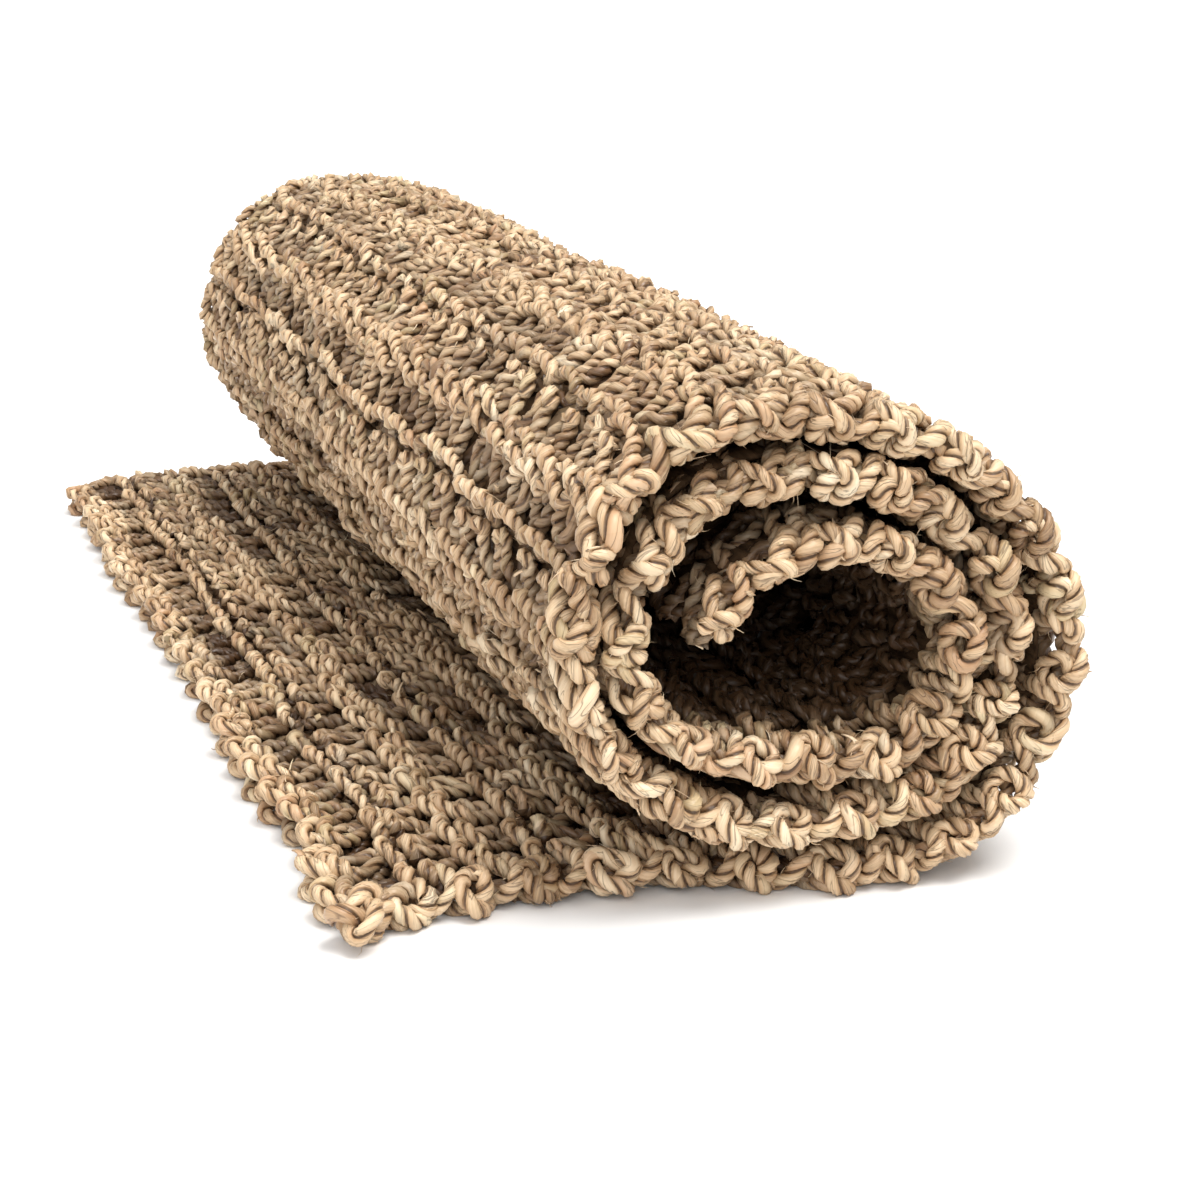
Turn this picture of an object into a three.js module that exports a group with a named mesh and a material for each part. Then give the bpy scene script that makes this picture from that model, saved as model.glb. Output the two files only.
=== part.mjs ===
// A runner rug crocheted from twisted leaf rope, rolled up from one end, with its other end left lying flat.
// Millimetres, +Z up. The roll's axis lies along Y, and the loose end points to -X.
// The whole rug is one piece of open crochet, so it is one solid: a thick cloth wound nearly three turns.

import * as THREE from "three";

// Driving dimensions
const rugLength = 1480; // laid out flat
const rugWidth = 650;
const rowCount = 53; // rows of crochet, from the loose end to the end inside the roll
const clothThickness = 17;
const looseLength = 190; // from the loose end to under the middle of the roll
const rollCentreHeight = 98;
const rollTaper = 0.035; // how much tighter the roll is at its far end
const loopDepth = 5; // how far the rope loops stand out along both long edges
const endRowHeight = 10; // the cloth thins to this at its first and last row
const stepsPerRow = 4;
const stepsAcross = 8;

const rowPitch = rugLength / rowCount;

// The middle of the cloth in the roll, as seen from the near end: its distance from the roll's centre at each
// eighth of a turn, from straight down under the roll to the end inside it.
const windings = [
  { angle: -90, reach: 89.5 },
  { angle: -45, reach: 100 },
  { angle: 0, reach: 97.5 },
  { angle: 45, reach: 88.5 },
  { angle: 90, reach: 94.5 },
  { angle: 135, reach: 112 },
  { angle: 180, reach: 103 },
  { angle: 225, reach: 78 },
  { angle: 270, reach: 65.5 },
  { angle: 315, reach: 74.5 },
  { angle: 360, reach: 74 },
  { angle: 405, reach: 67.5 },
  { angle: 450, reach: 71.5 },
  { angle: 495, reach: 88 },
  { angle: 540, reach: 83 },
  { angle: 585, reach: 51 },
  { angle: 630, reach: 40.5 },
  { angle: 675, reach: 50.5 },
  { angle: 720, reach: 53 },
  { angle: 765, reach: 47 },
  { angle: 810, reach: 47.5 },
  { angle: 855, reach: 53 },
  { angle: 900, reach: 58 },
];

// The rug wasn't rolled quite square: how far its rows have slid along the roll, at lengths from the loose end.
const slides = [
  { along: 0, slide: 22 },
  { along: 30, slide: 36 },
  { along: 100, slide: 36 },
  { along: 150, slide: 24 },
  { along: 200, slide: 5 },
  { along: 260, slide: 0 },
  { along: rugLength, slide: 0 },
];

// How far the row at a length from the loose end has slid, straight between the rows of the table.
function slideAt(along) {
  const next = Math.max(1, slides.findIndex((row) => row.along >= along));
  const [before, after] = [slides[next - 1], slides[next]];
  return THREE.MathUtils.mapLinear(along, before.along, after.along, before.slide, after.slide);
}

// The middle line of the cloth in the XZ plane: straight along the floor, then round and round.
// A tighter roll is smaller, but still stands on the floor.
function clothLine(tightness) {
  const middleHeight = clothThickness / 2;
  const reaches = new THREE.SplineCurve(windings.map((row) => new THREE.Vector2(row.angle, row.reach)));
  const turns = reaches.getPoints(windings.length * 16).map(({ x: angle, y: reach }) => {
    const turned = THREE.MathUtils.degToRad(angle);
    const rise = Math.max(0, rollCentreHeight + reach * Math.sin(turned) - middleHeight);
    return new THREE.Vector2(reach * Math.cos(turned) * tightness, middleHeight + rise * tightness);
  });
  const roll = new THREE.SplineCurve(turns);
  roll.arcLengthDivisions = 4000;
  const line = new THREE.CurvePath();
  line.add(new THREE.LineCurve(new THREE.Vector2(-looseLength, middleHeight), turns[0]));
  line.add(roll);
  return line;
}

// How high the inner face of the cloth lies over its middle line: less at the two end rows.
function innerHalf(along) {
  const fromEnd = Math.min(along, rugLength - along);
  const fullness = Math.sqrt(THREE.MathUtils.clamp((stepsPerRow * fromEnd) / rowPitch, 0, 1));
  return THREE.MathUtils.lerp(endRowHeight, clothThickness, fullness) - clothThickness / 2;
}

// How far a long edge is drawn in between two of its rope loops.
function edgeNotch(along) {
  return loopDepth * (0.5 + 0.5 * Math.cos((2 * Math.PI * along) / rowPitch));
}

// The cloth starts as a flat box, with its length along X, its thickness along Y and its width along Z.
// Each corner of the box's grid is then moved to its place in the loose end or the roll.
function rolledCloth() {
  const stepsAlong = rowCount * stepsPerRow;
  const geometry = new THREE.BoxGeometry(rugLength, clothThickness, rugWidth, stepsAlong, 1, stepsAcross);
  const corners = geometry.getAttribute("position");
  const lines = [];
  for (let column = 0; column <= stepsAcross; column++) {
    lines.push(clothLine(1 - (rollTaper * column) / stepsAcross));
  }
  const woundShare = rugLength / lines[0].getLength(); // the same on all lines, so the rows stay straight
  for (let i = 0; i < corners.count; i++) {
    const along = corners.getX(i) + rugLength / 2;
    const across = rugWidth / 2 - corners.getZ(i); // 0 at the near edge
    const column = Math.round(across / (rugWidth / stepsAcross));
    const share = THREE.MathUtils.clamp((woundShare * along) / rugLength, 0, 1);
    const middle = lines[column].getPoint(share);
    const run = lines[column].getTangent(share);
    const half = corners.getY(i) > 0 ? innerHalf(along) : -clothThickness / 2;
    const drawnIn = column === 0 ? 1 : column === stepsAcross ? -1 : 0;
    corners.setXYZ(
      i,
      middle.x - run.y * half,
      across + slideAt(along) + drawnIn * edgeNotch(along),
      Math.max(0, middle.y + run.x * half),
    );
  }
  geometry.computeVertexNormals();
  return geometry;
}

const ropeMaterial = new THREE.MeshStandardMaterial({
  color: 0xc2a27c, // dry straw
  roughness: 0.72,
  metalness: 0,
});

const rolledRug = new THREE.Group();
const rug = new THREE.Mesh(rolledCloth(), ropeMaterial);
rug.name = "rug";
rug.geometry.computeBoundingBox();
const middleOfRug = rug.geometry.boundingBox.getCenter(new THREE.Vector3());
rug.position.set(-middleOfRug.x, -middleOfRug.y, 0); // the origin is on the floor, under the middle of the whole
rolledRug.add(rug);

export default rolledRug;
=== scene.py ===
import math

import bmesh
import bpy
import numpy as np
from mathutils import Euler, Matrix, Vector


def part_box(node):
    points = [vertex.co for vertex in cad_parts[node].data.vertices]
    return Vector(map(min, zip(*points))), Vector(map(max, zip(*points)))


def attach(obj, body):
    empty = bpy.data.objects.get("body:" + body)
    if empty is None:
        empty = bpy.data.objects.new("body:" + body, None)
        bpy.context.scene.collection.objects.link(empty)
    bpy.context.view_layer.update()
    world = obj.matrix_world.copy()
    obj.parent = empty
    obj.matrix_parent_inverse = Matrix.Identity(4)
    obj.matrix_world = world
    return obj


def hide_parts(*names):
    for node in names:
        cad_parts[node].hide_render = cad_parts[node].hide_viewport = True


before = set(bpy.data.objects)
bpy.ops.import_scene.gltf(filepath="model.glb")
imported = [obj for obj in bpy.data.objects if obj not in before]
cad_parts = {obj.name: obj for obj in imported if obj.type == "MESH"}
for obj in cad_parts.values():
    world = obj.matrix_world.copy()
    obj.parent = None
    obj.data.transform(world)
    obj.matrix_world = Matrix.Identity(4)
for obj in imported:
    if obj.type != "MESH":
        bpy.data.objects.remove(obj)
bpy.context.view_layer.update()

# A runner rug crocheted from two-ply leaf rope, rolled up with one end left lying flat.
# Everything is in metres, apart from the charts of stitches, which are in millimetres.
mm = 0.001
dice = np.random.default_rng(2207)

# The cloth

rug = {
    "length": 1.48,  # laid out flat
    "width": 0.65,
    "thickness": 0.017,
    "looseLength": 0.19,  # from the loose end to under the middle of the roll
    "rollCentreHeight": 0.098,
    "rollTaper": 0.035,  # how much tighter the roll is at its far end
    "lowest": 0.0004,  # rope that would reach lower is pressed flat on the floor
}

# The middle of the cloth in the roll: (degrees turned, distance from the roll's centre)
windings = [
    (-90, 0.0895), (-45, 0.1), (0, 0.0975), (45, 0.0885), (90, 0.0945), (135, 0.112), (180, 0.103),
    (225, 0.078), (270, 0.0655), (315, 0.0745), (360, 0.074), (405, 0.0675), (450, 0.0715), (495, 0.088),
    (540, 0.083), (585, 0.051), (630, 0.0405), (675, 0.0505), (720, 0.053), (765, 0.047), (810, 0.0475),
    (855, 0.053), (900, 0.058),
]
windingSteps = 40  # from one of these to the next
# How far the rows have slid along the roll: (length from the loose end, slide)
slides = [
    (0, 0.022), (0.03, 0.036), (0.1, 0.036), (0.15, 0.024), (0.2, 0.005), (0.26, 0), (rug["length"], 0),
]


def smoothLine(points, steps):
    # a curve through all the points, with this many steps from each to the next
    before = np.concatenate([points[:1], points[:-2]])
    start, end = points[:-1], points[1:]
    after = np.concatenate([points[2:], points[-1:]])
    parts = []
    for step in range(steps):
        t = step / steps
        leaving, arriving = (end - before) / 2, (after - start) / 2
        parts.append(
            (2 * start - 2 * end + leaving + arriving) * t**3
            + (3 * end - 3 * start - 2 * leaving - arriving) * t**2
            + leaving * t
            + start
        )
    line = np.stack(parts, axis=1).reshape(-1, points.shape[1])
    return np.concatenate([line, points[-1:]])


def windUp():
    turned, reach = smoothLine(np.array(windings, float), windingSteps).T
    turned = np.radians(turned)
    middle = rug["thickness"] / 2
    x = reach * np.cos(turned)
    z = middle + np.maximum(0, rug["rollCentreHeight"] + reach * np.sin(turned) - middle)
    travel = np.concatenate([[0], np.cumsum(np.hypot(np.diff(x), np.diff(z)))])
    runX, runZ = np.gradient(x, travel), np.gradient(z, travel)
    run = np.hypot(runX, runZ)
    return {"travel": travel, "x": x, "z": z, "runX": runX / run, "runZ": runZ / run}


roll = windUp()
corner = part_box("rug")[0]
# from under the middle of the roll's near end to the part's own origin
shift = (corner[0] + rug["looseLength"], corner[1])


def layCloth(along, across, out):
    # where a spot of the flat cloth ends up: along from the loose end, across from the near edge,
    # and out towards the roll's inner face or the loose end's upper face
    loose, middle = rug["looseLength"], rug["thickness"] / 2
    tightness = 1 - rug["rollTaper"] * across / rug["width"]
    whole = loose + roll["travel"][-1]
    gone = along / whole * (loose + roll["travel"][-1] * tightness)
    wound = np.maximum(gone - loose, 0) / tightness
    x, z, runX, runZ = (
        np.interp(wound, roll["travel"], roll[key]) for key in ("x", "z", "runX", "runZ")
    )
    x = x * tightness + np.minimum(gone - loose, 0) - runZ * out
    z = middle + (z - middle) * tightness + runX * out
    y = across + np.interp(along, *np.array(slides).T)
    return np.stack([x + shift[0], y + shift[1], np.maximum(z, rug["lowest"])], axis=-1)


print("the cloth is wound")

# The crochet

crochet = {
    "rows": 53,
    "stitches": 24,
    "stitchWidth": 26.25,
    "rowHeight": 27.7,
    "innerMargin": 11,  # from the inner end of the rug to the foot of the first row
    "edgeMargin": 10,  # from a long edge to the first stitch of a row
    "stagger": 4,  # how far the rows are shifted to either side by turns
    "depth": 1,
    "wayMiddle": 13,  # where the middle of a stitch is on its chart
    "scallop": 1.4,  # how far the loops of the last row stand out
    "loopMiddle": 27,
    "loopFoot": 21,
    "lastDepth": 0.85,  # the last row is this much flatter
    "unevenStitch": 1.5,
    "unevenSize": 0.08,
    "unevenRope": 0.6,
}
borders = {
    "stitches": 53,
    "start": 6,  # from the loose end to the first stitch of an edge
    "spare": 16,  # what the stitches of an edge leave free of the rug's length
    "ends": 3,  # no stitch comes nearer to the rug's ends than this
    "foot": 13,  # from the long edge to the foot of its stitches
    "pull": 1.5,  # how far they are pulled in
    "farDepth": 0.4,  # how far they stand out at the far edge
    "depth": 0.8,
    "unevenStitch": 1.4,
    "unevenSize": 0.09,
    "unevenRope": 0.6,
}
carried = {
    "insides": (6, 17),  # from the long edge to the ropes that its stitches are worked over
    "start": 5,
    "end": 4,
    "step": 6.0,
    "uneven": 0.9,
    "unevenOut": 1.2,
}
knot = {
    "points": 44,
    "from": 0.5,
    "to": 2 * math.pi + 0.2,
    "size": 4.1,
    "squash": 0.9,
    "along": 8,
    "across": 1,
    "out": 3.5,
    "swing": 4.4,
}
handwork = {
    "middle": 14,  # a stitch grows to both sides of here
    "lowest": -6,
    "height": 22,
    "footShove": 0.35,  # how much of a stitch's shove its foot gets
    "outShove": 0.3,
    "unevenDepth": 0.12,
    "lean": 1.8,
    "outRough": 0.6,
}

# The way of the rope through one stitch, in millimetres: across, up the row, out of the cloth.
# Two legs come out of the top of the row below and spread in a V. Two rings bend along the row over them.
stitchWay = np.array([
    (5.2, 13.4, -4.2), (4.6, 8.5, -3.6), (6.4, 3.5, -3.2), (10, -1, -2.4), (12.4, -3.4, 0),
    (11.4, -1, 2.3), (9.4, 3.5, 2.9), (7.6, 8, 3.1), (6.8, 12, 4.6), (11, 16, 6.4),
    (17, 19.4, 7.4), (23.5, 19, 7), (30, 15.2, 4.2), (32.6, 13.4, -2), (28, 15.4, -6),
    (24, 16.2, -6.6), (22.6, 12.8, -4.6), (23, 8.2, -3.6), (20.8, 3, -3.2), (16.6, -1.4, -2.4),
    (14.2, -3.6, 0), (15.4, -1.2, 2.3), (17.8, 3.2, 2.9), (19.8, 8, 3.1), (19.2, 13, 3.6),
    (14.4, 18.2, 3), (14.6, 22.6, 5), (20, 26.4, 7), (27, 26.8, 7.2), (33.4, 23.2, 6),
    (39, 20.6, 1.6), (38.5, 22, -2.8), (33, 24.4, -6.2), (26, 25.8, -6.8), (20, 24.8, -5.6),
    (16.5, 22, -3.4), (21, 19.4, -0.6), (29, 17.4, -0.8),
], float)
# The same along the long edges: along, out from the edge, out of the cloth.
# The rope is wrapped over the edge three times in each stitch, once by itself and twice in a knot.
borderWay = np.array([
    (0, 5, -6), (2.5, 10.5, -5.4), (6, 14, -1.6), (9.5, 13.8, 3.4), (12, 9.5, 6.4),
    (12, 3.5, 6.4), (9.5, -3, 4.4), (7, -6.5, 0), (6.8, -3, -4.8), (9.5, 3.5, -6.6),
    (14, 8.5, -6.6), (19, 12.4, -4.6), (24.4, 14.2, -0.4), (26.6, 12.4, 4.4), (24, 8, 7),
    (18.6, 6.6, 7.4), (14.6, 10, 6), (15.6, 15, 2), (19.6, 17, -2.8), (25, 13, -6.2),
], float)


def workStitches(way, count, width, looseness):
    # the rope's way through a whole row of stitches, in millimetres
    middle, foot = handwork["middle"], handwork["footShove"]
    at = np.repeat(np.arange(count), len(way))
    line = np.tile(way, (count, 1)) * (1, 1, looseness["depth"])
    high = np.clip((line[:, 1] - handwork["lowest"]) / handwork["height"], 0, 1)
    shove = dice.normal(0, looseness["unevenStitch"], (count, 3))
    line += shove[at] * (foot + (1 - foot) * high)[:, None] * (1, 1, handwork["outShove"])
    line[:, 2] *= dice.normal(1, handwork["unevenDepth"], count)[at]
    size = dice.normal(1, looseness["unevenSize"], count)[at]
    line[:, 0] = middle + (line[:, 0] - middle) * size + at * width
    lean = dice.normal(0, handwork["lean"], count)[at]
    line[:, 0] += lean * (high - 0.5)
    line += dice.normal(0, looseness["unevenRope"], line.shape) * (1, 1, handwork["outRough"])
    return line


def rowWay(row):
    # along, across and out of the flat cloth, in metres; every other row is worked back from the other side
    way = workStitches(stitchWay, crochet["stitches"], crochet["stitchWidth"], crochet)
    side = 1 if row % 2 == 0 else -1
    if row == crochet["rows"] - 1:
        bulge = np.cos(2 * math.pi * (way[:, 0] - crochet["loopMiddle"]) / crochet["stitchWidth"])
        way[:, 1] += crochet["scallop"] * bulge * (way[:, 1] > crochet["loopFoot"])
        way[:, 2] *= crochet["lastDepth"]
    middle = crochet["stitches"] * crochet["stitchWidth"] / 2
    fromMiddle = way[:, 0] - crochet["wayMiddle"] - middle + crochet["stagger"]
    across = crochet["edgeMargin"] + middle + side * fromMiddle
    foot = rug["length"] / mm - crochet["innerMargin"] - row * crochet["rowHeight"]
    return np.stack([foot - way[:, 1], across, side * way[:, 2]], axis=1) * mm


def borderRope(isNear):
    whole = rug["length"] / mm
    width = (whole - borders["spare"]) / borders["stitches"]
    way = workStitches(borderWay, borders["stitches"], width, borders)
    side = 1 if isNear else -1
    across = borders["foot"] + borders["pull"] - way[:, 1]
    if not isNear:
        across = rug["width"] / mm - borders["foot"] + borders["farDepth"] * (way[:, 1] - borders["pull"])
    along = np.clip(borders["start"] + way[:, 0], borders["ends"], whole - borders["ends"])
    return np.stack([along, across, side * way[:, 2]], axis=1) * mm


def carriedRope(isNear, inside):
    # a straight rope that the stitches of a long edge are worked over
    along = np.arange(carried["start"], rug["length"] / mm - carried["end"], carried["step"])
    across = inside + dice.normal(0, carried["uneven"], len(along))
    if not isNear:
        across = rug["width"] / mm - across
    return np.stack([along, across, dice.normal(0, carried["unevenOut"], len(along))], axis=1) * mm


def knotWay():
    # an overhand knot in the last bit of rope, at the near corner of the loose end
    turn = np.linspace(knot["from"], knot["to"], knot["points"])
    size, squash = knot["size"], knot["squash"]
    along = knot["along"] + size * (np.sin(turn) + 2 * np.sin(2 * turn)) * squash
    across = knot["across"] + size * (np.cos(turn) - 2 * np.cos(2 * turn)) * squash
    out = knot["out"] - knot["swing"] * np.sin(3 * turn)
    return np.stack([along, across, out], axis=1) * mm


ropes = [rowWay(row) for row in range(crochet["rows"])]
ropes += [carriedRope(isNear, inside) for isNear in (True, False) for inside in carried["insides"]]
ropes += [borderRope(True), borderRope(False), knotWay()]

# handmade cloth is nowhere quite even: (length of a wave along, across, how far it moves the rope)
waves = [(0.19, 0.35, 0.0011), (-0.31, 0.16, 0.0012), (0.12, -0.11, 0.0008), (0.083, 0.21, 0.0006)]
waveOut = 0.55  # how much of that it moves the rope in and out of the cloth
for axis in range(3):
    starts = dice.uniform(0, 2 * math.pi, len(waves))
    moves = [
        sum(far * np.sin(2 * math.pi * (way[:, 0] / a + way[:, 1] / b) + start)
            for (a, b, far), start in zip(waves, starts))
        for way in ropes[:-1]
    ]
    for way, move in zip(ropes, moves):
        way[:, axis] += move * (waveOut if axis == 2 else 1)
print("the rope's way is worked out")

# The rope

rope = {
    "twist": 0.0128,  # one whole turn of its two plies
    "edgeTwist": 0.0148,  # the same along the edges
    "grain": 0.0007,  # the finest step along it
    "size": 0.91,
    "edgeSize": 0.96,
    "block": 12,  # steps that are made alike
    "leafLength": 0.07,
    "leafLengths": (0.2, 1.6),  # the shortest and longest bits, as shares of that
    "leafStart": 0.37,
    "sharedTone": 0.6,  # how alike the two plies are
    "ownTone": 0.7,
    "waySteps": 8,  # from one point of a stitch's chart to the next
    "hump": 30,  # how many steps its thick and thin places are long
    "ripple": 8,
    "unevenTwist": 2.0,
    "unevenHump": 0.096,
    "unevenRipple": 0.07,
    "thinnest": 0.72,  # as shares of its size
    "thickest": 1.3,
    "lopsided": 0.13,  # how much thicker one ply is than the other
    "lopsidedMost": 0.25,
    "lopsidedHigh": 0.6,
    "lopsidedHump": 24,
    "buriedSize": 0.0042,
}
# A quarter of the rope's section, in millimetres, from the outermost line of a ply to where the plies meet:
# out from the middle, round the rope, and the share of the way round
sections = {
    "fine": [(3.8, 0, 0), (3.05, 2.15, 0.1), (1.1, 2.95, 0.2), (0, 1.95, 0.25)],
    "nearby": [(3.8, 0, 0), (2.0, 2.75, 0.17), (0, 1.8, 0.25)],
    "distant": [(2.95, 2.35, 0.12), (0, 1.75, 0.25)],
}


def traceRope(way):
    # even steps along a rope: place, and its along, across and out in the flat cloth
    flat = smoothLine(way, rope["waySteps"])
    place = layCloth(*flat.T)
    travel = np.concatenate([[0], np.cumsum(np.linalg.norm(np.diff(place, axis=0), axis=1))])
    count = int(travel[-1] / rope["grain"]) // rope["block"] * rope["block"] + 1
    at = np.arange(count) * travel[-1] / (count - 1)
    return np.stack([np.interp(at, travel, c) for c in np.concatenate([place, flat], axis=1).T], axis=1)


traced = [traceRope(way) for way in ropes]
lengths = np.array([len(t) for t in traced])
longest = lengths.max()
steps = np.stack([np.concatenate([t, np.repeat(t[-1:], longest - len(t), axis=0)]) for t in traced])
print(f"{lengths.sum() * rope['grain']:.0f} m of rope")


def unit(v):
    return v / np.maximum(np.linalg.norm(v, axis=-1, keepdims=True), 1e-12)


def carryFrames(place):
    # two directions square to each rope, carried along it without turning
    run = np.zeros_like(place)
    run[:, 1:-1] = place[:, 2:] - place[:, :-2]
    run[:, 0], run[:, -1] = run[:, 1], run[:, -2]
    still = np.linalg.norm(run, axis=2) < 1e-7  # past the end of a shorter rope
    run[still] = (0, 0, 1)
    run = unit(run)
    sideways = np.zeros_like(place)
    now = unit(np.cross(run[:, 0], (0.3, 0.5, 0.8)))
    for k in range(place.shape[1]):
        now = unit(now - run[:, k] * np.sum(now * run[:, k], axis=1, keepdims=True))
        sideways[:, k] = now
    return sideways, np.cross(run, sideways)


def wander(length, reach, rows):
    # smooth random numbers along each rope, about one hump in each reach of steps
    knots = dice.normal(0, 1, (rows, int(length / reach) + 4))
    at = np.arange(length) / reach
    low = at.astype(int)
    t = at - low
    t = t * t * (3 - 2 * t)
    return knots[:, low] * (1 - t) + knots[:, low + 1] * t


place, flat = steps[:, :, :3], steps[:, :, 3:]
sideA, sideB = carryFrames(place)
ropeCount = len(ropes)
isEdge = np.arange(ropeCount)[:, None] >= crochet["rows"]
perTurn = np.where(isEdge, rope["edgeTwist"], rope["twist"])
turning = 2 * math.pi * np.arange(longest) * rope["grain"] / perTurn
slack = np.cumsum(wander(longest, rope["hump"], ropeCount), axis=1)
turning = turning + rope["unevenTwist"] * slack * rope["grain"] / perTurn
turning = turning + dice.uniform(0, 2 * math.pi, (ropeCount, 1))
fatness = 1 + rope["unevenHump"] * wander(longest, rope["hump"], ropeCount)
fatness = fatness + rope["unevenRipple"] * wander(longest, rope["ripple"], ropeCount)
fatness = np.clip(fatness, rope["thinnest"], rope["thickest"])
fatness = fatness * np.where(isEdge, rope["edgeSize"], rope["size"])
lopsided = rope["lopsided"] * wander(longest, rope["lopsidedHump"], ropeCount)
lopsided = np.clip(lopsided, -rope["lopsidedMost"], rope["lopsidedMost"])

# Painted shade: how much the leaf is darkened where little light reaches it, 0 on the faces of the cloth, 1
# deep inside it.
# Each pair is (where it begins to change, over how far).
shadeDepths = {
    "side": (0.001, 0.006),  # from a long edge
    "end": (0.003, 0.006),  # from the loose end
    "face": (0.0008, 0.0046),  # from the middle of the cloth
    "looseEnd": 1.55,  # painted shade: the deep leaf of the loose end is darkened more
    "underside": 0.004,  # of the loose end
    "undersideEnd": 0.2,
    "rollStart": 0.26,
    "innerFace": 0.003,  # of the turns
    "innerTurns": (0.76, 0.06),  # from the loose end
    "inRoll": 1.3,
    "rollSide": (0.008, 0.028),  # from a long edge of the roll
}


def shareOf(value, reach):
    start, far = reach
    return np.clip((value - start) / far, 0, 1)


along, across, out = (flat[:, :, k] for k in range(3))
fromSide = np.minimum(across, rug["width"] - across)
inCloth = shareOf(fromSide, shadeDepths["side"]) * shareOf(along, shadeDepths["end"])
depth = 1 - shareOf(np.abs(out), shadeDepths["face"])
depth *= inCloth * np.where(along < rug["looseLength"], shadeDepths["looseEnd"], 1)
# painted shade under the loose end, on the rope of its lower face
underside = (along < shadeDepths["undersideEnd"]) * np.clip(-out / shadeDepths["underside"], 0, 1) * inCloth
depth = np.maximum(depth, underside)
# painted shade in the inner turns of the roll and on the inner faces of its turns, less near its long edges
inRoll = shareOf(along, shadeDepths["innerTurns"])
inRoll = inRoll + (along > shadeDepths["rollStart"]) * np.clip(out / shadeDepths["innerFace"], 0, 1)
inRoll = shadeDepths["inRoll"] * np.clip(inRoll, 0, 1) * shareOf(fromSide, shadeDepths["rollSide"])
depth = np.maximum(depth, inRoll)


def leafTones(rows):
    # one number for each bit of leaf that a ply is made of
    bits = 9000  # more than any rope has
    tones = np.zeros((rows, longest))
    for r in range(rows):
        long = dice.uniform(*rope["leafLengths"], bits) * rope["leafLength"]
        ends = np.cumsum(long / rope["grain"]).astype(int)
        bit = np.searchsorted(ends, np.arange(longest))
        tones[r] = dice.normal(0, 1, bits + 1)[bit]
    return tones


shared = leafTones(ropeCount)
plyTones = [rope["sharedTone"] * shared + rope["ownTone"] * leafTones(ropeCount) for ply in range(2)]
plyHues = [leafTones(ropeCount) for ply in range(2)]
print("the rope is traced")

# How closely each block of rope is made, and in which piece

blocks = (longest - 1) // rope["block"]
middleOfBlock = np.arange(blocks) * rope["block"] + rope["block"] // 2
made = middleOfBlock[None, :] < lengths[:, None] - 1
along, across, out = (flat[:, middleOfBlock, k] for k in range(3))
fromFar = rug["width"] - across

detail = {
    # lengths from the loose end: where the cloth goes under the roll, comes up on its right,
    # faces up, faces down again and goes inside
    "under": 0.17,
    "foot": 0.25,
    "side": 0.41,
    "back": 0.72,
    "end": 0.79,
    "core": 1.06,  # from here on it shows inside the core
    "face": 0.0012,  # what is nearer to a face than this shows on it
    "coreFace": 0.0005,
    # distances from the near edge, the far edge and the loose end
    "fineEdge": 0.015,
    "fineEnd": (0.012, 0.3),
    "coreDepth": 0.2,
    "plainEdge": 0.05,
    "plainFarEdge": 0.02,
    "plainEnd": 0.03,
    "nearby": 0.33,
}
showsOnTail = (along < detail["under"]) & (out > -detail["face"])
showsOnRoll = (along >= detail["foot"]) & (along < detail["end"]) & (out < detail["face"])
facesUp = (along >= detail["side"]) & (along < detail["back"])
# the last three ropes are the near border, the far border and the knot; the carried ropes come before
isBorder, isCarried, isKnot = (np.zeros_like(made) for kind in range(3))
isBorder[-3] = True
isCarried[crochet["rows"]:-3] = True
isKnot[-1] = True
atEnd = (along < detail["fineEnd"][0]) & (across < detail["fineEnd"][1])
isFine = (isBorder | isKnot | (across < detail["fineEdge"]) | atEnd) & ~isCarried
isShown = (showsOnTail | (showsOnRoll & facesUp)) & ~isFine & ~isCarried
inCore = (along > detail["core"]) & (out > -detail["coreFace"]) & (across < detail["coreDepth"])
atSides = (across < detail["plainEdge"]) | (fromFar < detail["plainFarEdge"]) | (along < detail["plainEnd"])
isPlain = ((showsOnRoll | atSides | inCore) & ~isFine & ~isShown) | isCarried
isNearby = isShown & (across < detail["nearby"])
isDistant = (isShown & ~isNearby) | isPlain
isHidden = ~isFine & ~isShown & ~isPlain

# how many steps there are between the rings of each way that the rope is made
ringSteps = {"fine": 2, "nearby": 3, "distant": 4, "hidden": 12}
# the lengths between which each piece reaches, from the loose end; the near edge is apart
edgeStretches = {"nearEdgeOuter": (-1, 0.7), "nearEdgeInner": (0.7, 2)}
stretches = {
    "looseEnd": (-1, 0.19),
    "rollRight": (0.19, 0.44),
    "rollTop": (0.44, 0.6),
    "rollLeft": (0.6, 0.84),
    "innerTurns": (0.84, 2),
}
pieces = {}
for isNearEdge, named in ((True, edgeStretches), (False, stretches)):
    for name, (start, end) in named.items():
        pieces[name] = (isFine == isNearEdge) & (along >= start) & (along < end)


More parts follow.
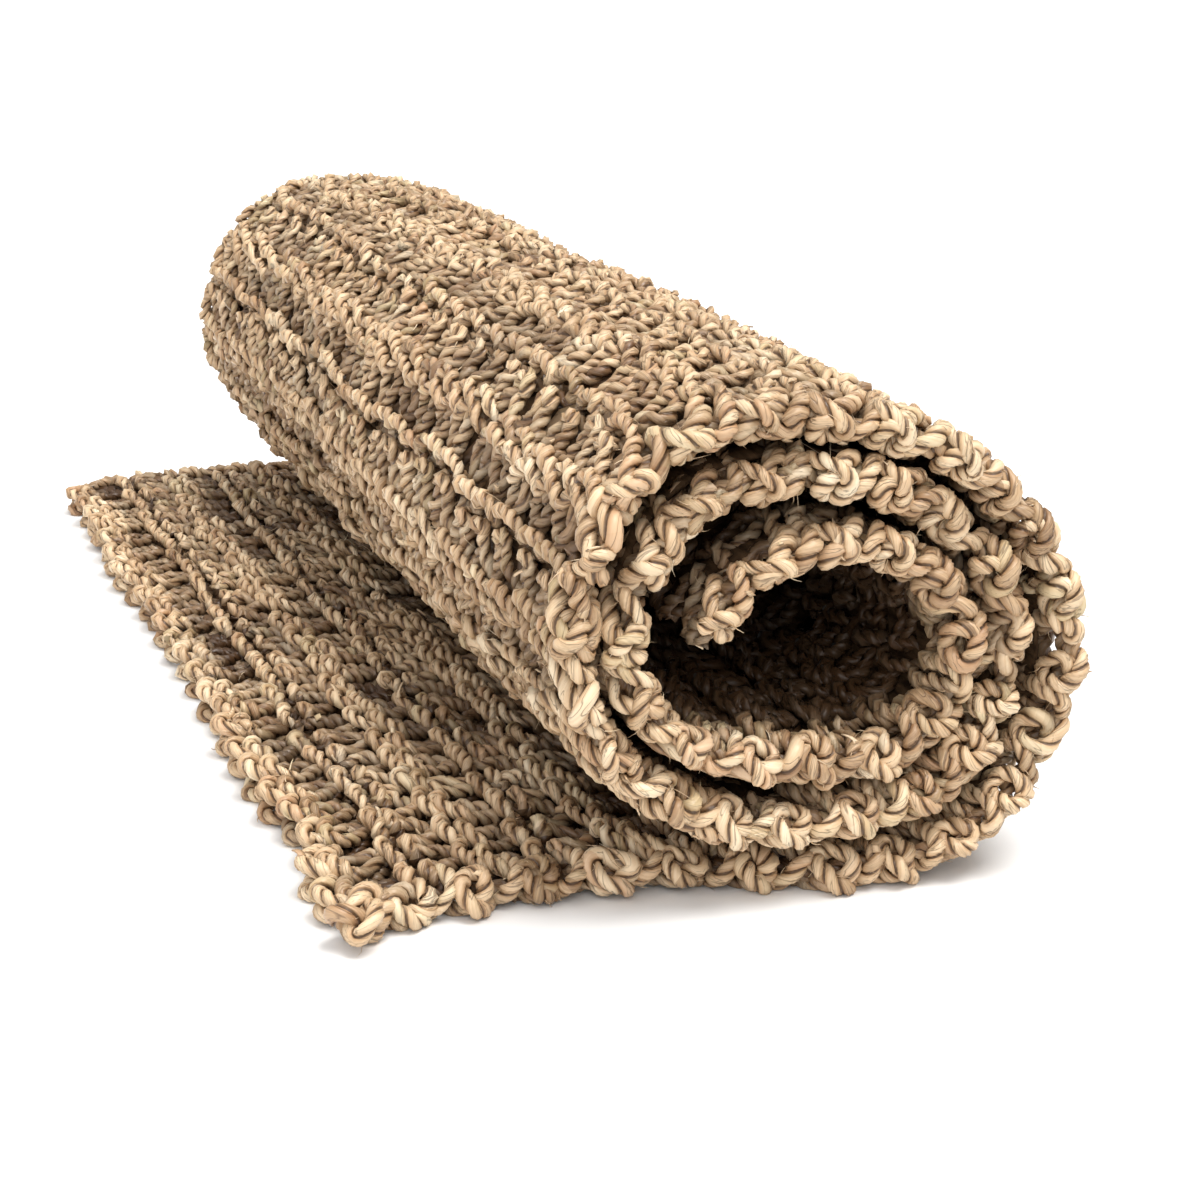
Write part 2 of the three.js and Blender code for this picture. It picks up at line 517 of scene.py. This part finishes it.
def sweep(chosen, every, section):
    # sweeps a section along the chosen blocks, as closed lengths of tube
    chosen = chosen & made
    first = np.argwhere(chosen)
    if not len(first):
        return None
    perBlock = rope["block"] // every
    ropeAt = np.repeat(first[:, 0], perBlock)
    start = np.repeat(first[:, 1], perBlock) * rope["block"]
    start = start + np.tile(np.arange(perBlock), len(first)) * every
    ringOf = np.full((ropeCount, longest), -1)
    ringOf[ropeAt, start] = 0
    ringOf[ropeAt, start + every] = 0
    rings = np.argwhere(ringOf == 0)
    ringOf[rings[:, 0], rings[:, 1]] = np.arange(len(rings))
    outline, tone, hue, around = section(rings[:, 0], rings[:, 1])
    sides = outline.shape[1]
    a, b = ringOf[ropeAt, start], ringOf[ropeAt, start + every]
    side = np.arange(sides)
    after = (side + 1) % sides
    ringA, ringB = a[:, None] * sides, b[:, None] * sides
    quads = np.stack([ringA + side, ringA + after, ringB + after, ringB + side], axis=-1).reshape(-1, 4)
    # along the rope in u, once round it in v; each rope starts at another place in u
    uStart = (start * rope["grain"] + ropeAt * rope["leafStart"])[:, None] + 0 * side
    uEnd = uStart + every * rope["grain"]
    v0 = around + 0 * a[:, None]
    v1 = np.append(around[1:], around[0] + 1) + 0 * a[:, None]
    spots = [(uStart, v0), (uStart, v1), (uEnd, v1), (uEnd, v0)]
    uv = np.stack([np.stack(spot, axis=-1) for spot in spots], axis=-2).reshape(-1, 2)
    # the ends of each length are closed
    padded = np.pad(chosen, ((0, 0), (1, 1)))
    opens = np.argwhere(padded[:, 1:-1] & ~padded[:, :-2])
    closes = np.argwhere(padded[:, 1:-1] & ~padded[:, 2:])
    openRings = ringOf[opens[:, 0], opens[:, 1] * rope["block"]]
    closeRings = ringOf[closes[:, 0], (closes[:, 1] + 1) * rope["block"]]
    caps = np.concatenate([openRings[:, None] * sides + side[::-1], closeRings[:, None] * sides + side])
    return {
        "points": outline.reshape(-1, 3),
        "quads": quads,
        "uv": uv,
        "caps": caps,
        "tone": tone[a].reshape(-1),
        "hue": hue[a].reshape(-1),
        # how much painted shade the leaf gets
        "depth": np.repeat(depth[ropeAt, start], sides),
    }


def directions(r, k, turn):
    outwards = np.cos(turn)[:, None] * sideA[r, k] + np.sin(turn)[:, None] * sideB[r, k]
    roundwards = -np.sin(turn)[:, None] * sideA[r, k] + np.cos(turn)[:, None] * sideB[r, k]
    return outwards, roundwards


def lobedRing(profile):
    # both plies in one outline, a quarter of it after another; an outermost line is shared by two quarters
    wide, high, v = np.array(profile, float).T
    shared = 1 if high[0] == 0 else 0
    wide = np.concatenate([wide, -wide[:-1][::-1], -wide[shared:], wide[shared:-1][::-1]]) * mm
    high = np.concatenate([high, high[:-1][::-1], -high[shared:], -high[shared:-1][::-1]]) * mm
    around = np.concatenate([v, 0.5 - v[:-1][::-1], 0.5 + v[shared:], 1 - v[shared:-1][::-1]])
    isFirst = (around < 0.25) | (around >= 0.75)

    def ring(r, k):
        outwards, roundwards = directions(r, k, turning[r, k])
        fat = fatness[r, k][:, None]
        lop = lopsided[r, k][:, None] * np.where(isFirst, 1, -1)
        outline = (
            place[r, k][:, None]
            + (fat * (1 + lop) * wide)[..., None] * outwards[:, None]
            + (fat * (1 + rope["lopsidedHigh"] * lop) * high)[..., None] * roundwards[:, None]
        )
        tone = np.where(isFirst, plyTones[0][r, k][:, None], plyTones[1][r, k][:, None])
        hue = np.where(isFirst, plyHues[0][r, k][:, None], plyHues[1][r, k][:, None])
        return outline, tone, hue, around

    return ring


def buriedRing(r, k):
    # rope that is buried in the roll, with three sides
    sides = 3
    around = np.arange(sides) / sides
    angle = 2 * math.pi * around
    outline = place[r, k][:, None] + rope["buriedSize"] * (
        np.cos(angle)[:, None] * sideA[r, k][:, None] + np.sin(angle)[:, None] * sideB[r, k][:, None]
    )
    tone, hue = (np.repeat(values[0][r, k][:, None], sides, axis=1) for values in (plyTones, plyHues))
    return outline, tone, hue, around


def makeMesh(name, parts):
    # one mesh from the swept lengths
    points, loops, starts, totals, uvs = [], [], [], [], []
    marks = {"tone": [], "hue": [], "depth": []}
    base, corners = 0, 0
    for part in parts:
        if part is None:
            continue
        quads, caps = part["quads"] + base, part["caps"] + base
        points.append(part["points"])
        loops += [quads.ravel(), caps.ravel()]
        starts += [corners + 4 * np.arange(len(quads))]
        corners += quads.size
        sides = caps.shape[1]
        starts += [corners + sides * np.arange(len(caps))]
        corners += caps.size
        totals += [np.full(len(quads), 4), np.full(len(caps), sides)]
        uvs += [part["uv"], np.zeros((caps.size, 2))]
        for key, values in marks.items():
            values += [part[key], np.zeros(len(caps))]
        base += len(part["points"])
    points, loops, starts = np.concatenate(points), np.concatenate(loops), np.concatenate(starts)
    totals, uvs = np.concatenate(totals), np.concatenate(uvs)
    points[:, 2] = np.maximum(points[:, 2], rug["lowest"])
    mesh = bpy.data.meshes.new(name)
    mesh.vertices.add(len(points))
    mesh.vertices.foreach_set("co", points.ravel().astype(np.float32))
    mesh.loops.add(len(loops))
    mesh.loops.foreach_set("vertex_index", loops.astype(np.int32))
    mesh.polygons.add(len(starts))
    mesh.polygons.foreach_set("loop_start", starts.astype(np.int32))
    mesh.polygons.foreach_set("loop_total", totals.astype(np.int32))
    mesh.update(calc_edges=True)
    mesh.polygons.foreach_set("use_smooth", np.ones(len(starts), bool))
    layer = mesh.uv_layers.new(name="ropeWay")
    layer.uv.foreach_set("vector", uvs.ravel().astype(np.float32))
    for key, values in marks.items():
        attribute = mesh.attributes.new(key, "FLOAT", "FACE")
        attribute.data.foreach_set("value", np.concatenate(values).astype(np.float32))
    piece = bpy.data.objects.new(name, mesh)
    bpy.context.collection.objects.link(piece)
    print(f"{name}: {int((totals - 2).sum())} triangles")
    return piece


def makePiece(name, chosen):
    parts = [
        sweep(chosen & isFine, ringSteps["fine"], lobedRing(sections["fine"])),
        sweep(chosen & isNearby, ringSteps["nearby"], lobedRing(sections["nearby"])),
        sweep(chosen & isDistant, ringSteps["distant"], lobedRing(sections["distant"])),
        sweep(chosen & isHidden, ringSteps["hidden"], buriedRing),
    ]
    return makeMesh(name, parts)


crochetPieces = [makePiece(name, chosen) for name, chosen in pieces.items()]

# Cut ends and frayed strands of leaf

frays = {
    "tabs": 260,
    "tabWidth": (0.0018, 0.0036),
    "tabThickness": 0.0006,
    "tabLength": (0.0025, 0.006),
    "tabLean": (0.3, 0.9),
    "edgeStrands": 1000,
    "edgeStrandWidth": (0.0003, 0.0007),
    "edgeStrandLength": (0.003, 0.008),
    "faceStrands": 900,
    "faceStrandWidth": (0.0003, 0.0006),
    "faceStrandLength": (0.004, 0.009),
    "strandThickness": 0.0003,
    "strandLean": (0.1, 0.8),
    "root": 0.0028,  # how far from the middle of the rope they begin
    "curl": 0.5,
    "rings": 4,
    "tone": 0.5,
    "unevenTone": 0.9,
}


def pickSpots(count, mask):
    # random spots on the rope that shows, with the way out of it and the way along it
    spots = np.argwhere(mask & made)
    spots = spots[dice.integers(0, len(spots), count)]
    r, k = spots[:, 0], spots[:, 1] * rope["block"] + dice.integers(0, rope["block"], count)
    angle = dice.uniform(0, 2 * math.pi, count)
    outwards, roundwards = directions(r, k, angle)
    return r, k, outwards, roundwards, np.cross(outwards, roundwards)


def bentStrips(count, mask, widths, thickness, lengths, leans, sides):
    # closed strips that leave the rope and bend, with 4 sides for a flat tab and 3 for a thin strand
    r, k, outwards, roundwards, run = pickSpots(count, mask)
    length = dice.uniform(*lengths, count)
    rings = frays["rings"]
    share = np.linspace(0, 1, rings)
    lean = dice.uniform(*leans, count)
    curl = dice.normal(0, frays["curl"], (count, 2))
    middle = (
        place[r, k][:, None]
        + outwards[:, None] * (frays["root"] + (length * lean)[:, None] * share)[..., None]
        + run[:, None] * ((length * (1 - 0.5 * lean))[:, None] * share)[..., None]
        + roundwards[:, None] * ((length * curl[:, 0])[:, None] * share**2)[..., None]
        - outwards[:, None] * ((length * np.abs(curl[:, 1]) * 0.5)[:, None] * share**2)[..., None]
    )
    isTab = sides == 4
    width = dice.uniform(*widths, count)[:, None] * (1 - (0.15 if isTab else 0.75) * share)
    if isTab:
        corners = np.array([(-1, 1), (1, 1), (1, -1), (-1, -1)]) / 2
    else:
        corners = np.array([(-0.5, 0.3), (0.5, 0.3), (0, -0.6)])
    flatness = thickness / width if isTab else np.ones_like(width)
    outline = (
        middle[:, :, None]
        + (width[..., None] * corners[:, 0])[..., None] * roundwards[:, None, None]
        + ((width * flatness)[..., None] * corners[:, 1])[..., None] * outwards[:, None, None]
    )
    ring = (np.arange(count)[:, None] * rings + np.arange(rings - 1)).ravel()
    side = np.arange(sides)
    after = (side + 1) % sides
    a, b = ring[:, None] * sides, (ring[:, None] + 1) * sides
    quads = np.stack([a + side, a + after, b + after, b + side], axis=-1).reshape(-1, 4)
    ends = np.arange(count)[:, None] * rings * sides
    caps = np.concatenate([ends + side[::-1], ends + (rings - 1) * sides + side])
    uv = np.tile(np.array([(0, 0), (0, 0.1), (0.004, 0.1), (0.004, 0)]), (len(quads), 1))
    uv = uv + np.repeat(dice.uniform(0, 9, count), (rings - 1) * sides * 4)[:, None] * (1, 0)
    tone = np.repeat(dice.normal(frays["tone"], frays["unevenTone"], count), (rings - 1) * sides)
    hue = np.repeat(dice.normal(0, 1, count), (rings - 1) * sides)
    return {
        "points": outline.reshape(-1, 3),
        "quads": quads,
        "uv": uv,
        "caps": caps,
        "tone": tone,
        "hue": hue,
        "depth": np.zeros(len(quads)),
    }


tabSpots = isFine | isNearby
frayedLeaf = makeMesh("frayedLeaf", [
    bentStrips(
        frays["tabs"], tabSpots, frays["tabWidth"], frays["tabThickness"], frays["tabLength"],
        frays["tabLean"], 4,
    ),
    bentStrips(
        frays["edgeStrands"], isFine, frays["edgeStrandWidth"], frays["strandThickness"],
        frays["edgeStrandLength"], frays["strandLean"], 3,
    ),
    bentStrips(
        frays["faceStrands"], isShown, frays["faceStrandWidth"], frays["strandThickness"],
        frays["faceStrandLength"], frays["strandLean"], 3,
    ),
])
print("the leaf is frayed")

# The strands inside the cloth, where the rope crosses from one face to the other, as a thin dark sheet
# whose colour is painted shade in the holes

inner = {
    "thickness": 0.0016,
    "perRow": 2,
    "perStitch": 2,
    "bulge": 0.0015,
    "margin": 0.016,  # from the rug's edges
}
# how far they lie from the middle of the cloth, away from the face that shows:
# (length from the loose end, out)
innerDepths = [
    (0, -0.0035), (0.17, -0.0035), (0.25, 0.004), (0.8, 0.004), (0.95, -0.0035), (1.2, -0.0035),
    (1.28, 0.0005), (rug["length"], 0.0005),
]


def makeInnerStrands():
    bm = bmesh.new()
    rows, columns = crochet["rows"] * inner["perRow"], (crochet["stitches"] + 1) * inner["perStitch"]
    bmesh.ops.create_grid(bm, x_segments=rows, y_segments=columns, size=0.5)
    size = np.array([rug["length"], rug["width"]]) - 2 * inner["margin"]
    for vertex in bm.verts:
        along, across = inner["margin"] + (np.array(vertex.co)[:2] + 0.5) * size
        out = np.interp(along, *np.array(innerDepths).T) + dice.normal(0, inner["bulge"])
        vertex.co = layCloth(along, across, out)
    bmesh.ops.recalc_face_normals(bm, faces=bm.faces)
    bmesh.ops.solidify(bm, geom=bm.faces[:], thickness=inner["thickness"])
    for vertex in bm.verts:
        vertex.co.z = max(vertex.co.z, rug["lowest"])
    bmesh.ops.recalc_face_normals(bm, faces=bm.faces)
    mesh = bpy.data.meshes.new("innerStrands")
    bm.to_mesh(mesh)
    bm.free()
    mesh.polygons.foreach_set("use_smooth", np.ones(len(mesh.polygons), bool))
    piece = bpy.data.objects.new("innerStrands", mesh)
    bpy.context.collection.objects.link(piece)
    print(f"innerStrands: {sum(len(p.vertices) - 2 for p in mesh.polygons)} triangles")
    return piece


innerStrands = makeInnerStrands()

# The leaf's finish, with painted shade in its creases, its folds and deep inside the cloth

leafColours = {
    "dark": (0.20, 0.11, 0.055),
    "brown": (0.44, 0.285, 0.16),
    "straw": (0.72, 0.525, 0.325),
    "pale": (0.90, 0.745, 0.53),
    "reddish": (0.58, 0.34, 0.19),
    "greenish": (0.53, 0.47, 0.25),
    # the last four colours are painted shade
    "grooveShade": (0.62, 0.45, 0.30),
    "gapShade": (0.07, 0.033, 0.013),
    "innerShadeDark": (0.02, 0.011, 0.006),
    "innerShadeBrown": (0.14, 0.082, 0.042),
}
leafFinish = {
    "fibres": (60.0, 20.0, 1.0),  # how many fine lines there are along, round and out of the rope
    "folds": (70.0, 5.0, 1.0),
    "foldWidth": 0.018,
    # painted shade: how dark the leaf's fold lines, the crease between the plies and the deep leaf are made
    "foldDark": 0.6,
    "creaseDark": 0.92,
    "deepShadeDark": 0.72,
    "toneShare": 0.24,
    "patchScale": 19.0,
    "patchShare": 0.5,
    "bump": 0.75,
    "bumpDepth": 0.0007,
    "innerScale": 240.0,
    "innerStretch": (1.0, 0.22, 1.0),
    "innerBump": 0.8,
    "innerBumpDepth": 0.002,
}


def addNode(tree, kind, links, **settings):
    # a node with its settings, and what goes into each of its sockets: a number, a colour or another socket
    node = tree.nodes.new(kind)
    for key, value in settings.items():
        setattr(node, key, value)
    for key, value in links.items():
        if isinstance(value, bpy.types.NodeSocket):
            tree.links.new(value, node.inputs[key])
        else:
            node.inputs[key].default_value = value
    return node


def addRamp(tree, value, first, last, between=()):
    # each of its stops is (position, leaf colour)
    ramp = addNode(tree, "ShaderNodeValToRGB", {"Fac": value})
    stops = ramp.color_ramp.elements
    for stop, (position, colour) in zip(stops, (first, last)):
        stop.position = position
        stop.color = (*leafColours[colour], 1)
    for position, colour in between:
        stops.new(position).color = (*leafColours[colour], 1)
    return ramp.outputs["Color"]


def leafMaterial():
    material = bpy.data.materials.new("dryLeafRope")
    material.use_nodes = True
    tree = material.node_tree
    shader = tree.nodes["Principled BSDF"]

    def maths(operation, first, second=0.0, third=None):
        node = addNode(tree, "ShaderNodeMath", {0: first, 1: second}, operation=operation)
        if isinstance(third, bpy.types.NodeSocket):
            tree.links.new(third, node.inputs[2])
        return node.outputs[0]

    def rangeOf(value, fromMin, fromMax, toMin, toMax):
        node = addNode(tree, "ShaderNodeMapRange", {
            "Value": value, "From Min": fromMin, "From Max": fromMax, "To Min": toMin, "To Max": toMax,
        })
        return node.outputs["Result"]

    def mix(factor, first, second, blend="MIX"):
        node = addNode(tree, "ShaderNodeMix", {}, data_type="RGBA", blend_type=blend)
        for socket, value in ((node.inputs[0], factor), (node.inputs[6], first), (node.inputs[7], second)):
            if isinstance(value, bpy.types.NodeSocket):
                tree.links.new(value, socket)
            elif socket.type == "RGBA":
                socket.default_value = (*value, 1)
            else:
                socket.default_value = value
        return node.outputs[2]

    def attribute(name):
        return addNode(tree, "ShaderNodeAttribute", {}, attribute_name=name).outputs["Fac"]

    def noise(vector, scale, detail, roughness=0.5):
        return addNode(tree, "ShaderNodeTexNoise", {
            "Vector": vector, "Scale": scale, "Detail": detail, "Roughness": roughness,
        }).outputs["Fac"]

    way = addNode(tree, "ShaderNodeUVMap", {}, uv_map="ropeWay").outputs["UV"]
    v = addNode(tree, "ShaderNodeSeparateXYZ", {0: way}).outputs["Y"]
    tone, hue, deepShade = attribute("tone"), attribute("hue"), attribute("depth")

    # fine lines that run along a ply, and the leaf's own folds
    fibreWay = addNode(tree, "ShaderNodeMapping", {"Vector": way, "Scale": leafFinish["fibres"]}).outputs[0]
    fibres = noise(fibreWay, 1.0, 3.0, 0.6)
    foldWay = addNode(tree, "ShaderNodeMapping", {"Vector": way, "Scale": leafFinish["folds"]}).outputs[0]
    folds = noise(foldWay, 1.0, 1.0, 0.4)
    fromFold = maths("ABSOLUTE", maths("SUBTRACT", folds, 0.5))
    fold = rangeOf(fromFold, 0.0, leafFinish["foldWidth"], 1.0, 0.0)
    # 1 on the outermost line of each ply, -1 where the two plies meet, which gets a dark line of painted
    # shade
    outermost = maths("COSINE", maths("MULTIPLY", v, 4 * math.pi))
    crease = rangeOf(outermost, -0.99, -0.84, 1.0, 0.0)
    spot = addNode(tree, "ShaderNodeTexCoord", {}).outputs["Object"]
    patches = maths("SUBTRACT", noise(spot, leafFinish["patchScale"], 2.0), 0.5)

    light = maths("MULTIPLY_ADD", tone, leafFinish["toneShare"], fibres)
    light = maths("ADD", light, maths("MULTIPLY", patches, leafFinish["patchShare"]))
    light = rangeOf(light, -0.35, 1.35, 0.0, 1.0)
    colour = addRamp(tree, light, (0.06, "dark"), (0.9, "pale"), [(0.3, "brown"), (0.55, "straw")])
    colour = mix(rangeOf(hue, 0.8, 2.2, 0.0, 0.5), colour, leafColours["reddish"])
    colour = mix(rangeOf(hue, -0.9, -2.2, 0.0, 0.35), colour, leafColours["greenish"])
    # painted shade: each ply is darkened towards where the two plies meet
    colour = mix(rangeOf(outermost, 0.5, -0.85, 0.0, 0.55), colour, leafColours["grooveShade"], "MULTIPLY")
    # painted shade: the crease where the plies meet and the leaf's fold lines are darkened towards the gap
    # colour
    dark = maths("MULTIPLY", crease, leafFinish["creaseDark"])
    dark = maths("MAXIMUM", dark, maths("MULTIPLY", fold, leafFinish["foldDark"]))
    # painted shade deep inside the cloth and the roll, from the depth attribute
    dark = maths("MAXIMUM", dark, maths("MULTIPLY", deepShade, leafFinish["deepShadeDark"]))
    colour = mix(dark, colour, leafColours["gapShade"])
    tree.links.new(colour, shader.inputs["Base Color"])
    tree.links.new(rangeOf(fibres, 0.3, 0.7, 0.3, 0.52), shader.inputs["Roughness"])
    shader.inputs["Specular IOR Level"].default_value = 0.5

    height = maths("MULTIPLY", fibres, 0.25)
    height = maths("MULTIPLY_ADD", crease, -0.9, height)
    height = maths("MULTIPLY_ADD", fold, -0.45, height)
    bump = addNode(tree, "ShaderNodeBump", {
        "Height": height, "Strength": leafFinish["bump"], "Distance": leafFinish["bumpDepth"],
    })
    tree.links.new(bump.outputs["Normal"], shader.inputs["Normal"])
    return material


def innerShadeMaterial():
    # painted shade: the same leaf, coloured as dark as where hardly any light falls on it
    material = bpy.data.materials.new("innerLeafShade")
    material.use_nodes = True
    tree = material.node_tree
    shader = tree.nodes["Principled BSDF"]
    spot = addNode(tree, "ShaderNodeTexCoord", {}).outputs["Object"]
    spot = addNode(tree, "ShaderNodeMapping", {
        "Vector": spot, "Scale": leafFinish["innerStretch"],
    }).outputs[0]
    lumps = addNode(tree, "ShaderNodeTexNoise", {
        "Vector": spot, "Scale": leafFinish["innerScale"], "Detail": 4.0,
    }).outputs["Fac"]
    colour = addRamp(tree, lumps, (0.35, "innerShadeDark"), (0.75, "innerShadeBrown"))
    tree.links.new(colour, shader.inputs["Base Color"])
    bump = addNode(tree, "ShaderNodeBump", {
        "Height": lumps, "Strength": leafFinish["innerBump"], "Distance": leafFinish["innerBumpDepth"],
    })
    tree.links.new(bump.outputs["Normal"], shader.inputs["Normal"])
    shader.inputs["Roughness"].default_value = 0.95
    shader.inputs["Specular IOR Level"].default_value = 0.08
    return material


ropePieces = crochetPieces + [frayedLeaf]
leaf = leafMaterial()
for piece in ropePieces:
    piece.data.materials.append(leaf)
innerStrands.data.materials.append(innerShadeMaterial())
for piece in ropePieces + [innerStrands]:
    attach(piece, "root")
    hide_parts("rug")

# The room

studio = {
    "floorSize": 60.0,
    "cameraPlace": (-0.392, -0.802, 0.410),  # from under the middle of the roll's near end
    "cameraDown": 17.9,
    "cameraRight": 20.2,
    "lens": 75.0,
    "sensor": 36.0,
    "air": 0.46,
}
# soft lights from far away, so that the whole floor is lit alike
suns = {
    "key": {"place": (0.4, -0.4, 1.6), "strength": 2.8, "spread": 34, "colour": (1, 0.985, 0.96)},
    "overhead": {"place": (0.0, -0.2, 2.0), "strength": 0.9, "spread": 75, "colour": (1, 1, 1)},
    "left": {"place": (-1.6, -0.3, 0.8), "strength": 0.55, "spread": 50, "colour": (1, 1, 1)},
    "front": {"place": (-0.6, -1.5, 1.2), "strength": 0.75, "spread": 40, "colour": (1, 1, 1)},
}


def makeFloor():
    bm = bmesh.new()
    bmesh.ops.create_grid(bm, x_segments=1, y_segments=1, size=studio["floorSize"] / 2)
    mesh = bpy.data.meshes.new("floor")
    bm.to_mesh(mesh)
    bm.free()
    floor = bpy.data.objects.new("floor", mesh)
    bpy.context.collection.objects.link(floor)
    material = bpy.data.materials.new("paleFloor")
    material.use_nodes = True
    shader = material.node_tree.nodes["Principled BSDF"]
    shader.inputs["Base Color"].default_value = (0.9, 0.9, 0.9, 1)
    shader.inputs["Roughness"].default_value = 0.8
    mesh.materials.append(material)


def makeSun(name, sun):
    light = bpy.data.lights.new(name, "SUN")
    light.energy = sun["strength"]
    light.angle = math.radians(sun["spread"])
    light.color = sun["colour"]
    lamp = bpy.data.objects.new(name, light)
    lamp.location = sun["place"]
    lamp.rotation_euler = Vector(sun["place"]).to_track_quat("Z", "Y").to_euler()
    bpy.context.collection.objects.link(lamp)


def makeCamera():
    data = bpy.data.cameras.new("camera")
    data.lens, data.sensor_width = studio["lens"], studio["sensor"]
    camera = bpy.data.objects.new("camera", data)
    x, y, z = studio["cameraPlace"]
    camera.location = (x + shift[0], y + shift[1], z)
    down, right = math.radians(studio["cameraDown"]), math.radians(studio["cameraRight"])
    camera.rotation_euler = Euler((math.pi / 2 - down, 0, -right))
    bpy.context.collection.objects.link(camera)
    bpy.context.scene.camera = camera


makeFloor()
for name, sun in suns.items():
    makeSun(name, sun)
makeCamera()
world = bpy.data.worlds.new("room")
bpy.context.scene.world = world
world.use_nodes = True
world.node_tree.nodes["Background"].inputs["Color"].default_value = (1, 1, 1, 1)
world.node_tree.nodes["Background"].inputs["Strength"].default_value = studio["air"]
bpy.context.scene.view_settings.view_transform = "Standard"
print("the room is lit")
